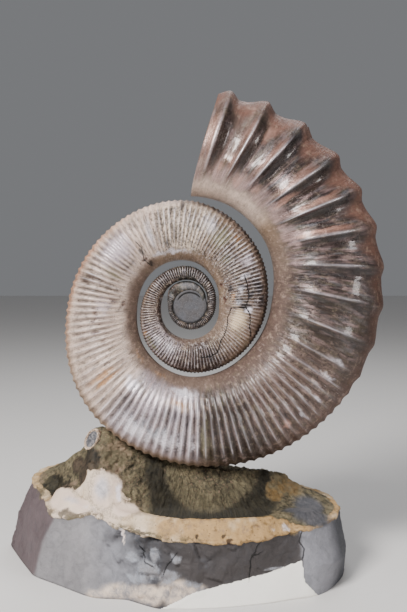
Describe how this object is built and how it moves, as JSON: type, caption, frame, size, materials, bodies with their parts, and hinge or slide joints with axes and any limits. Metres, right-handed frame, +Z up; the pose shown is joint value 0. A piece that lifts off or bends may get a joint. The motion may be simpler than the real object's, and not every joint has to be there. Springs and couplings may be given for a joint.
{
  "type": "ammonite fossil",
  "caption": "Open-coiled ammonite fossil with strong leaning ribs, standing upright on a broken block of its own matrix for display",
  "frame": {"origin": "on the flat foot of the matrix block, below the middle of the coil", "axes": "X right as seen from the front, Y away to the back, Z up"},
  "size_m": [0.2458, 0.146, 0.2993],
  "materials": {
    "shell": "pearly shell, glossy where it is whole and matt where it is worn",
    "rock": "rough broken stone"
  },
  "bodies": {
    "root": {"ammonite_coil": "shell", "matrix_block": "rock"}
  },
  "joints": []
}
